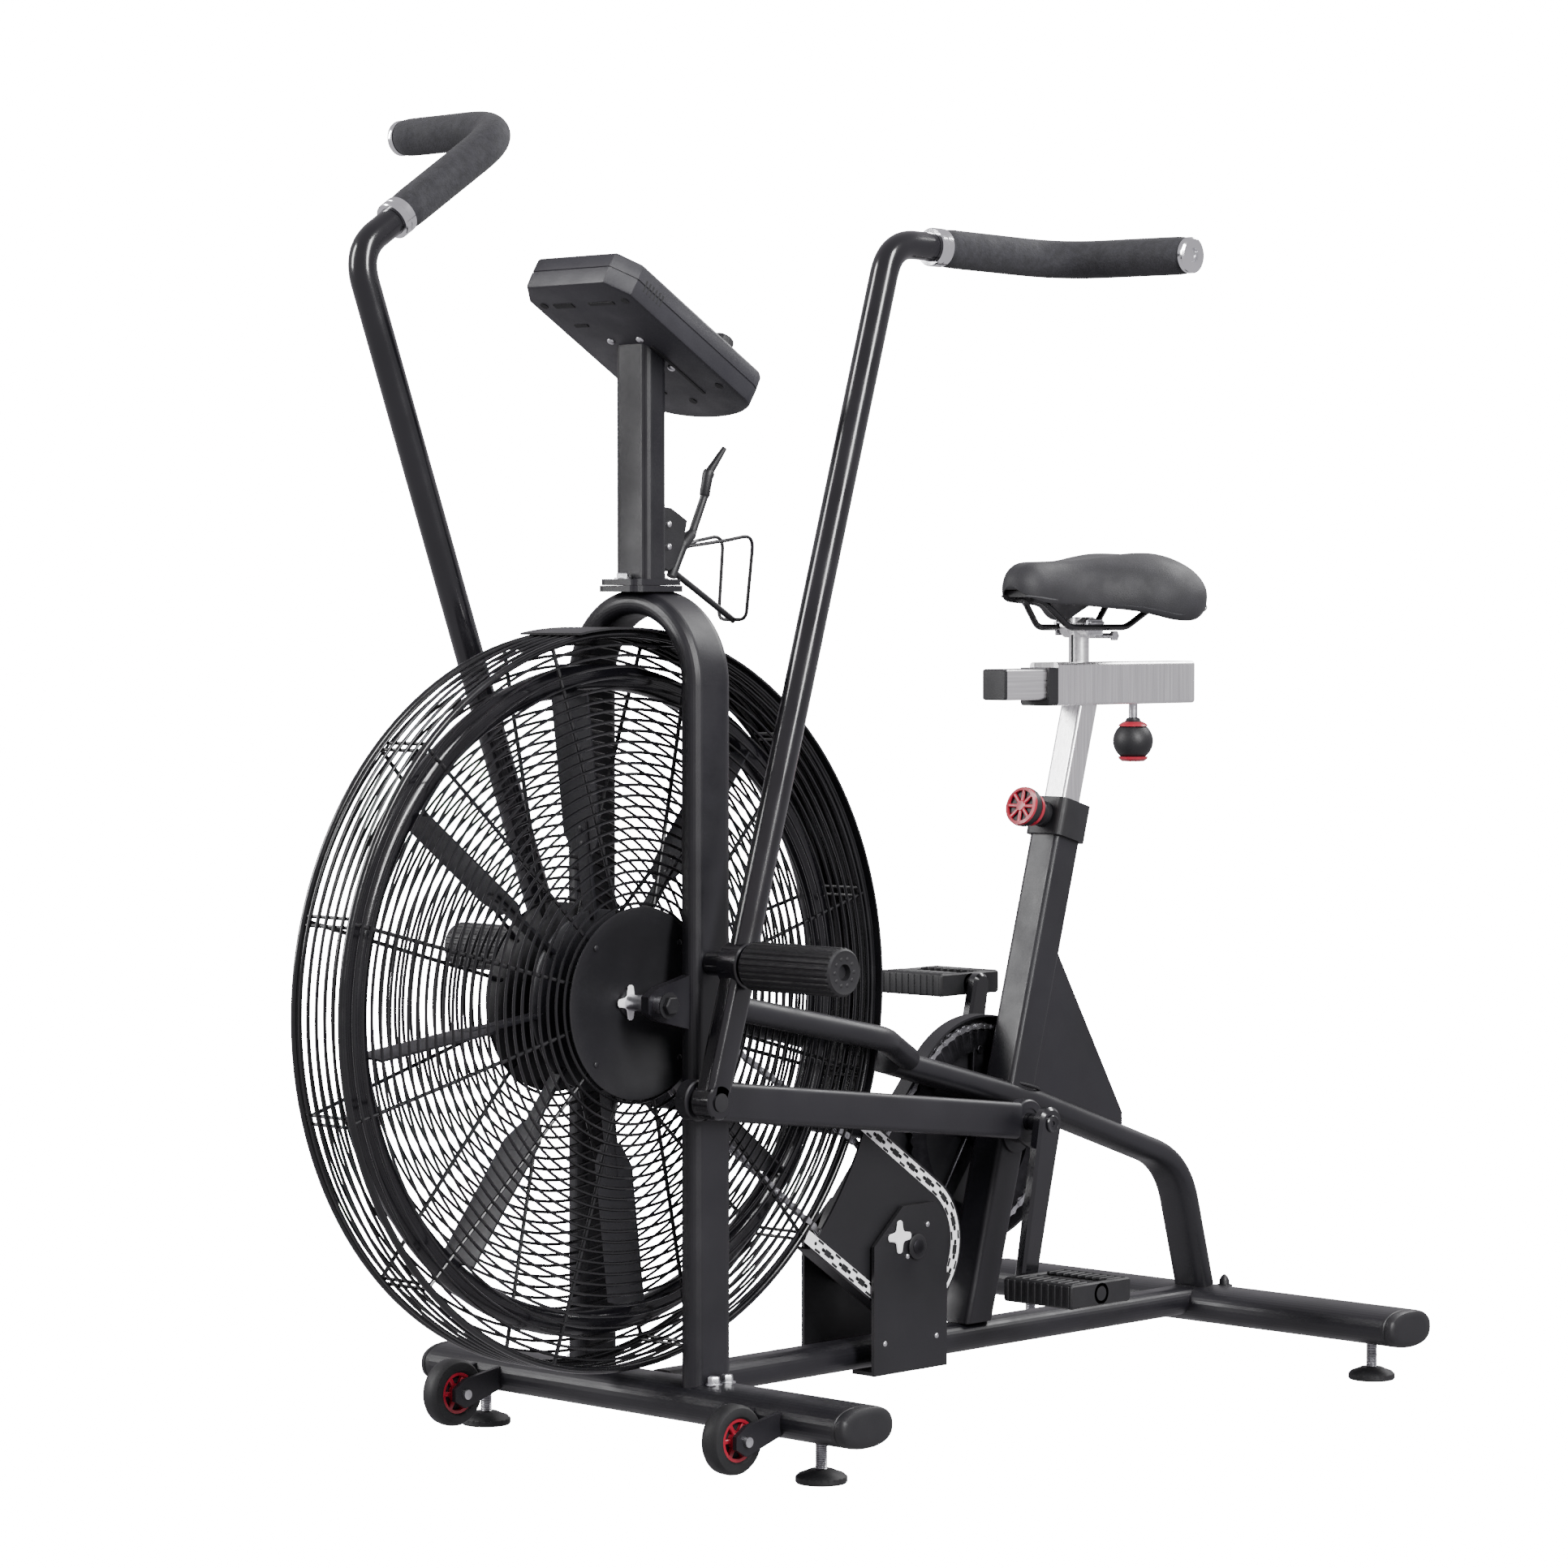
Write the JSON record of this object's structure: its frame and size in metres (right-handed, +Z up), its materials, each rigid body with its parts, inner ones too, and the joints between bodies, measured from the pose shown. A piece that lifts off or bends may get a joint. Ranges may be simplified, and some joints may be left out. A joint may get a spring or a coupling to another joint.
{
  "type": "air bike",
  "caption": "Stationary air bike: wire-caged fan wheel, swinging arm levers pushed by crank rods, pedals, foot pegs, console on a mast and an adjustable saddle.",
  "frame": {"origin": "on the floor, under the centre of the whole bike", "axes": "the front of the bike faces -Y, the rider's left is +X and +Z is up; +X is the shortest side"},
  "size_m": [0.661, 1.3117, 1.3211],
  "materials": {
    "frame_black": "satin black powder coat",
    "cap_plastic": "moulded, fine texture",
    "guard_black": "satin black paint",
    "link_silver": "bright plated",
    "cage_black": "gloss black wire",
    "steel": "machined",
    "fan_black": "semi-gloss",
    "crank_black": "gloss black paint",
    "pedal_plastic": "moulded, ribbed",
    "grip_foam": "matt foam rubber",
    "wheel_tyre": "matt",
    "console_plastic": "fine texture",
    "console_glass": "dark display window",
    "wire_black": "black coated wire",
    "post_silver": "brushed, satin",
    "saddle_cover": "smooth synthetic cover",
    "shell_plastic": "moulded",
    "knob_red": "red and black knob"
  },
  "bodies": {
    "frame": {"front_stabiliser": "frame_black", "rear_stabiliser": "frame_black", "stabiliser_caps": "cap_plastic", "base_tube": "frame_black", "fork_leg_left": "frame_black", "fork_leg_right": "frame_black", "fork_crown": "frame_black", "stay_left": "frame_black", "stay_right": "frame_black", "top_tube": "frame_black", "seat_tube": "frame_black", "post_collar": "cap_plastic", "chain_guard": "guard_black", "crank_guard": "guard_black", "chain_trim": "link_silver", "jack_bracket": "guard_black", "cage_left": "cage_black", "cage_right": "cage_black", "cage_rim": "cage_black", "cage_plates": "guard_black", "wind_guard": "guard_black", "fan_axle": "steel", "drive_chains": "steel", "foot_pegs": "grip_foam", "mast": "frame_black", "console_case": "console_plastic", "console_screen": "console_glass", "bottle_cage": "wire_black", "bolts": "link_silver"},
    "fan": {"fan_wheel": "fan_black"},
    "jack": {"jackshaft": "steel"},
    "crank": {"chainring": "steel", "crank_left": "crank_black", "crank_right": "crank_black"},
    "pedal_left": {"pedal_left": "pedal_plastic"},
    "pedal_right": {"pedal_right": "pedal_plastic"},
    "rod_left": {"push_rod_left": "crank_black"},
    "rod_right": {"push_rod_right": "crank_black"},
    "lever_left": {"lever_left": "crank_black", "lever_trim_left": "link_silver", "grip_left": "grip_foam"},
    "lever_right": {"lever_right": "crank_black", "lever_trim_right": "link_silver", "grip_right": "grip_foam"},
    "wheel_left": {"wheel_left": "wheel_tyre"},
    "wheel_right": {"wheel_right": "wheel_tyre"},
    "foot_front_left": {"foot_front_left": "cap_plastic"},
    "foot_front_right": {"foot_front_right": "cap_plastic"},
    "foot_rear_left": {"foot_rear_left": "cap_plastic"},
    "foot_rear_right": {"foot_rear_right": "cap_plastic"},
    "dial": {"console_dial": "console_plastic"},
    "post": {"seat_post": "post_silver", "carriage_bush": "cap_plastic"},
    "saddle": {"seat_slider": "post_silver", "saddle_rails": "wire_black", "saddle_shell": "shell_plastic", "saddle_pad": "saddle_cover"},
    "knob": {"carriage_knob": "knob_red"},
    "pop_pin": {"pop_pin": "knob_red"}
  },
  "joints": [
    {"name": "crank_spin", "type": "hinge", "parent": "frame", "child": "crank", "pos_m": [0, 0.293, 0.275], "axis": [1, 0, 0], "continuous": true},
    {"name": "jack_spin", "type": "hinge", "parent": "frame", "child": "jack", "pos_m": [0, 0.104, 0.175], "axis": [1, 0, 0], "continuous": true},
    {"name": "fan_spin", "type": "hinge", "parent": "frame", "child": "fan", "pos_m": [0, -0.297, 0.448], "axis": [1, 0, 0], "continuous": true},
    {"name": "rod_left_pivot", "type": "hinge", "parent": "crank", "child": "rod_left", "pos_m": [0, 0.25696, 0.29235], "axis": [1, 0, 0], "continuous": true},
    {"name": "rod_right_pivot", "type": "hinge", "parent": "crank", "child": "rod_right", "pos_m": [0, 0.32904, 0.25765], "axis": [1, 0, 0], "continuous": true},
    {"name": "pedal_left_spin", "type": "hinge", "parent": "crank", "child": "pedal_left", "pos_m": [0, 0.22275, 0.12903], "axis": [1, 0, 0], "continuous": true},
    {"name": "pedal_right_spin", "type": "hinge", "parent": "crank", "child": "pedal_right", "pos_m": [0, 0.36325, 0.42097], "axis": [1, 0, 0], "continuous": true},
    {"name": "lever_left_swing", "type": "hinge", "parent": "frame", "child": "lever_left", "pos_m": [0, -0.234, 0.485], "axis": [1, 0, 0], "range_deg": [0, 34]},
    {"name": "lever_right_swing", "type": "hinge", "parent": "frame", "child": "lever_right", "pos_m": [0, -0.234, 0.485], "axis": [1, 0, 0], "range_deg": [-34.5, 0.5]},
    {"name": "wheel_left_spin", "type": "hinge", "parent": "frame", "child": "wheel_left", "pos_m": [0.195, -0.311, 0.0465], "axis": [1, 0, 0], "continuous": true},
    {"name": "wheel_right_spin", "type": "hinge", "parent": "frame", "child": "wheel_right", "pos_m": [-0.195, -0.311, 0.0465], "axis": [1, 0, 0], "continuous": true},
    {"name": "foot_front_left_turn", "type": "hinge", "parent": "frame", "child": "foot_front_left", "pos_m": [0.234, -0.23, 0.02], "axis": [0, 0, 1], "range_deg": [-180, 180]},
    {"name": "foot_rear_left_turn", "type": "hinge", "parent": "frame", "child": "foot_rear_left", "pos_m": [0.242, 0.62, 0.02], "axis": [0, 0, 1], "range_deg": [-180, 180]},
    {"name": "foot_front_right_turn", "type": "hinge", "parent": "frame", "child": "foot_front_right", "pos_m": [-0.234, -0.23, 0.02], "axis": [0, 0, 1], "range_deg": [-180, 180]},
    {"name": "foot_rear_right_turn", "type": "hinge", "parent": "frame", "child": "foot_rear_right", "pos_m": [-0.242, 0.62, 0.02], "axis": [0, 0, 1], "range_deg": [-180, 180]},
    {"name": "dial_turn", "type": "hinge", "parent": "frame", "child": "dial", "pos_m": [0.046, -0.17687, 1.07768], "axis": [0, 0.515, 0.8572], "range_deg": [-150, 150]},
    {"name": "post_slide", "type": "slide", "parent": "frame", "child": "post", "axis": [0, 0.2706, 0.9627], "range_m": [-0.06, 0.11]},
    {"name": "saddle_slide", "type": "slide", "parent": "post", "child": "saddle", "axis": [0, 1, 0], "range_m": [-0.04, 0.09]},
    {"name": "knob_turn", "type": "hinge", "parent": "post", "child": "knob", "pos_m": [0, 0.509, 0.68], "axis": [0, 0, 1], "range_deg": [-90, 90]},
    {"name": "pop_pin_pull", "type": "slide", "parent": "frame", "child": "pop_pin", "axis": [0, -0.9627, 0.2706], "range_m": [0, 0.012], "stiffness_N_per_m": 400, "springref_m": -0.01}
  ],
  "couplings": [
    {"joint": "jack_spin", "follows": "crank_spin", "ratio": 2.9444},
    {"joint": "fan_spin", "follows": "crank_spin", "ratio": 5.3},
    {"joint": "rod_left_pivot", "follows": "crank_spin", "ratio": -1},
    {"joint": "rod_right_pivot", "follows": "crank_spin", "ratio": -1},
    {"joint": "lever_right_swing", "follows": "lever_left_swing", "ratio": -1}
  ]
}
